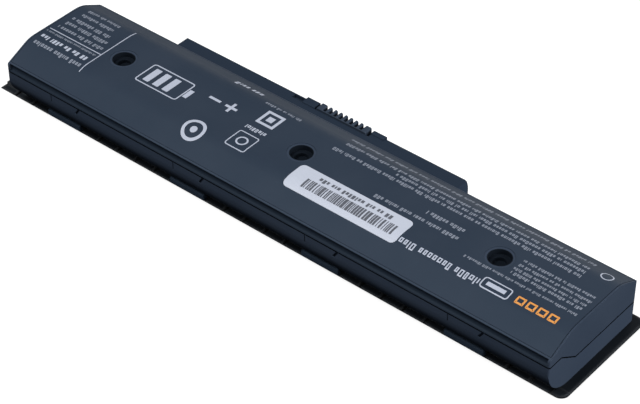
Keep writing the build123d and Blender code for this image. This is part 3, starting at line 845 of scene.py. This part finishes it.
@dataclass
class LabelPrint:
    """Plain print of the label face: rows of blocks, rules and simple signs, in millimetres."""

    rows: Sequence[PrintRow] = (
        PrintRow(83.7, 54.0, -17.8, 2.6, 10, 0.17),
        PrintRow(-87.7, -109.0, -13.2, 2.1, 14, 0.26),
        PrintRow(-28.9, -41.1, 11.7, 2.4, 21, 0.24),
        PrintRow(-12.6, -21.4, -5.7, 1.8, 23),
    )
    fine_rows: Sequence[PrintRow] = (
        PrintRow(106.5, 9.4, 3.7, 1.5, 1),
        PrintRow(106.4, 33.1, 6.1, 1.5, 2),
        PrintRow(106.3, 10.3, 8.6, 1.5, 3),
        PrintRow(105.9, 8.8, 13.2, 1.6, 4),
        PrintRow(115.3, 89.0, -1.5, 1.2, 5),
        PrintRow(115.6, 88.9, -3.9, 1.2, 6),
        PrintRow(115.2, 88.7, -6.1, 1.2, 7),
        PrintRow(115.0, 88.8, -8.2, 1.4, 8),
        PrintRow(115.3, 73.5, -11.2, 1.1, 9),
        PrintRow(67.2, 34.4, -6.4, 1.7, 11),
        PrintRow(66.6, 52.0, -2.2, 1.7, 12),
        PrintRow(-86.9, -109.5, -17.2, 1.9, 13),
        PrintRow(-86.7, -110.4, -9.8, 0.9, 15),
        PrintRow(-87.4, -109.1, -5.7, 1.7, 16),
        PrintRow(-88.6, -108.2, -2.3, 1.7, 17),
        PrintRow(-90.4, -107.6, 0.9, 1.7, 18),
        PrintRow(-92.1, -106.6, 4.5, 1.5, 19),
        PrintRow(-92.0, -106.7, 7.8, 1.4, 20),
        PrintRow(-8.9, -25.1, 8.1, 1.3, 22),
    )
    rules: Sequence[Mark] = (Box(-85.4, -4.9, 0.36, 28.4), Box(-97.9, -8.2, 24.8, 0.36))
    cell_sign: Sequence[Mark] = (
        Box(-57.9, -5.4, 19.0, 11.0, 1.2, 0.5),
        Box(-47.2, -5.4, 1.8, 4.6),
        *(Box(-63.7 + 4.4 * step, -5.4, 2.6, 7.6, 0.3) for step in range(3)),
    )
    polarity: Sequence[Mark] = (
        Box(-38.3, -1.7, 5.0, 1.1),
        Box(-31.1, -1.7, 5.0, 1.1),
        Box(-31.1, -3.225, 1.1, 1.95),
        Box(-31.1, -0.175, 1.1, 1.95),
    )
    frames: Sequence[Mark] = (
        Disc(-33.4, -17.8, 4.4, 1.2),
        Disc(-33.4, -17.8, 1.3),
        Box(-16.6, -12.7, 8.6, 8.6, 0.9, 0.4),
        Disc(-16.6, -12.7, 2.2, 0.6),
        Box(-16.6, 1.7, 7.4, 7.4, border=1.1),
        Box(-16.6, 1.7, 2.6, 2.6),
        Box(89.6, -16.6, 10.6, 4.4, 1.1, 0.42),
        Box(89.6, -16.6, 7.0, 1.5),
        Disc(112.4, 9.6, 2.2, 0.4),
    )
    orange_bar: Sequence[Mark] = tuple(
        Box(104.7 + 4.0 * (step - 1.5), -16.6, 3.2, 2.9, 0.3, 0.68) for step in range(4)
    )
    lift: float = 0.05
    bend: tuple[float, float, float] = (-19.6, -14.4, 0.65)
    rear: tuple[float, float, float] = (5.6, 11.7, 0.61)
    pieces: list[bpy.types.Object] = field(default_factory=list)

    def build(self, film: bpy.types.Object, wardrobe: Wardrobe) -> None:
        """Draws the print and lays it on the film.

        Args:
            film: The label film.
            wardrobe: The materials.
        """
        signs = (*self.rules, *self.cell_sign, *self.polarity, *self.frames)
        for name, marks, finish in (
            ("label_rows", self.rows, Finish.PRINT),
            ("label_fine_rows", self.fine_rows, Finish.FINE_PRINT),
            ("label_signs", signs, Finish.PRINT),
            ("label_orange_bar", self.orange_bar, Finish.ORANGE),
        ):
            drawing = Drawing(name)
            for mark in marks:
                mark.draw(drawing)
            drawing.divide(*self.bend)
            drawing.divide(*self.rear)
            piece = drawing.lay(film, self.lift)
            wardrobe.dress(piece, finish)
            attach(piece, BODY)
            self.pieces.append(piece)


@dataclass
class StickerPrint:
    """Bars and a row of blocks on the white sticker, in millimetres."""

    x_bars: float = 12.7
    bars_length: float = 36.3
    y_bars: float = -15.7
    bars_depth: float = 4.2
    row: PrintRow = PrintRow(45.4, 16.6, -11.7, 1.9, 31, 0.27)
    bar_widths: tuple[float, ...] = (0.3, 0.45, 0.75, 1.05)
    bar_gaps: tuple[float, ...] = (0.24, 0.24, 0.3, 0.6)
    bend: tuple[float, float, float] = (-19.6, -11.0, 0.65)
    lift: float = 0.04
    seed: int = 5

    def build(self, sticker: bpy.types.Object, wardrobe: Wardrobe) -> bpy.types.Object:
        """Draws the bars and lays them on the sticker.

        Args:
            sticker: The white sticker.
            wardrobe: The materials.

        Returns:
            The printed piece.
        """
        drawing = Drawing("sticker_bars")
        self.row.draw(drawing)
        dice = random.Random(self.seed)
        x = self.x_bars
        while x < self.x_bars + self.bars_length:
            width = dice.choice(self.bar_widths)
            drawing.field(x + width / 2, self.y_bars, width, self.bars_depth)
            x += width + dice.choice(self.bar_gaps)
        drawing.divide(*self.bend)
        piece = drawing.lay(sticker, self.lift)
        wardrobe.dress(piece, Finish.BAR_INK)
        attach(piece, BODY)
        return piece


@dataclass(frozen=True)
class Lamp:
    """Square soft lamp that faces the battery, in metres and watts."""

    name: str
    place: tuple[float, float, float]
    size: float
    power: float

    def hang(self) -> None:
        """Adds the lamp."""
        bpy.ops.object.select_all(action="DESELECT")
        bpy.ops.object.light_add(type="AREA", location=self.place)
        lamp = bpy.context.object
        lamp.name = self.name
        lamp.data.size = self.size
        lamp.data.energy = self.power
        lamp.rotation_euler = (-Vector(self.place)).to_track_quat("-Z", "Y").to_euler()


@dataclass
class Studio:
    """Pale floor, soft lamps and the camera, in metres."""

    floor_size: float = 8.0
    floor_colour: Colour = (0.38, 0.38, 0.38)
    floor_shade: Colour = (0.05, 0.05, 0.055)
    floor_glow: float = 0.74
    shade_reach: float = 0.12
    world_strength: float = 0.22
    lamps: Sequence[Lamp] = (
        Lamp("key_lamp", (-0.35, -0.55, 1.08), 0.75, 14.5),
        Lamp("end_lamp", (1.2, 0.1, 0.5), 0.7, 18.0),
        Lamp("rear_lamp", (-0.3, 1.3, 0.35), 0.7, 1.8),
    )
    camera_place: tuple[float, float, float] = (0.35699, -0.41959, 0.46255)
    camera_turn: tuple[float, float, float] = (49.82, 0.0, 39.90)
    lens: float = 120.93
    sensor_width: float = 36.0
    nearest: float = 0.01

    def build(self) -> None:
        """Builds the whole studio."""
        self.build_world()
        self.build_floor()
        self.build_lamps()
        self.build_camera()

    def build_world(self) -> None:
        """Makes an even pale surround."""
        world = bpy.data.worlds.new("surround")
        bpy.context.scene.world = world
        world.use_nodes = True
        tree = world.node_tree
        sky = tree.nodes["Background"]
        sky.inputs["Color"].default_value = (1.0, 1.0, 1.0, 1.0)
        sky.inputs["Strength"].default_value = self.world_strength
        shown = tree.nodes.new("ShaderNodeBackground")
        shown.inputs["Strength"].default_value = 1.0
        shown.inputs["Color"].default_value = (1.0, 1.0, 1.0, 1.0)
        path = tree.nodes.new("ShaderNodeLightPath")
        blend = tree.nodes.new("ShaderNodeMixShader")
        tree.links.new(path.outputs["Is Camera Ray"], blend.inputs[0])
        tree.links.new(sky.outputs[0], blend.inputs[1])
        tree.links.new(shown.outputs[0], blend.inputs[2])
        tree.links.new(blend.outputs[0], tree.nodes["World Output"].inputs["Surface"])

    def build_floor(self) -> None:
        """Lays the pale floor under the battery."""
        bpy.ops.object.select_all(action="DESELECT")
        bpy.ops.mesh.primitive_plane_add(size=self.floor_size, location=(0.0, 0.0, 0.0))
        floor = bpy.context.object
        floor.name = "floor"
        graph = Graph("floor_paper")
        clouds = graph.noise(60.0, 2.0)
        path = graph.add("ShaderNodeLightPath")
        camera, glossy, through = (
            Wire(graph, path.outputs[f"Is {ray} Ray"]) for ray in ("Camera", "Glossy", "Transmission")
        )
        far = Wire(graph, path.outputs["Ray Length"]) > self.shade_reach
        shown = camera + through + glossy * far
        pale = graph.mix(clouds, lighter(self.floor_colour, -0.005), self.floor_colour)
        glow = (self.floor_glow,) * 3
        floor.data.materials.append(
            graph.shade(
                Base_Color=graph.mix(shown, self.floor_shade, pale),
                Roughness=0.9,
                Specular_IOR_Level=0.1,
                Emission_Color=graph.mix(shown, (0.0, 0.0, 0.0), glow),
                Emission_Strength=1.0,
            )
        )

    def build_lamps(self) -> None:
        """Hangs the soft lamps."""
        for lamp in self.lamps:
            lamp.hang()

    def build_camera(self) -> None:
        """Sets the camera at the photograph's angle."""
        turn = tuple(math.radians(angle) for angle in self.camera_turn)
        bpy.ops.object.camera_add(location=self.camera_place, rotation=turn)
        camera = bpy.context.object
        camera.data.lens = self.lens
        camera.data.sensor_width = self.sensor_width
        camera.data.clip_start = self.nearest
        bpy.context.scene.camera = camera


def main() -> None:
    """Builds the looks of the battery in order."""
    logging.basicConfig(level=logging.INFO, format="%(name)s: %(message)s")
    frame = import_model()
    wardrobe = Wardrobe()
    for node, finish in NODE_FINISH.items():
        wardrobe.dress(frame["nodes"][node], finish)
        LOG.info("dressed %s as %s", node, finish.value.name)
    label = LabelPrint()
    label.build(frame["nodes"]["label_film"], wardrobe)
    for piece in label.pieces:
        LOG.info("laid %s", piece.name)
    bars = StickerPrint().build(frame["nodes"]["barcode_sticker"], wardrobe)
    LOG.info("laid %s", bars.name)
    Studio().build()
    bpy.context.scene.view_settings.view_transform = "Standard"


if __name__ == "__main__":
    main()
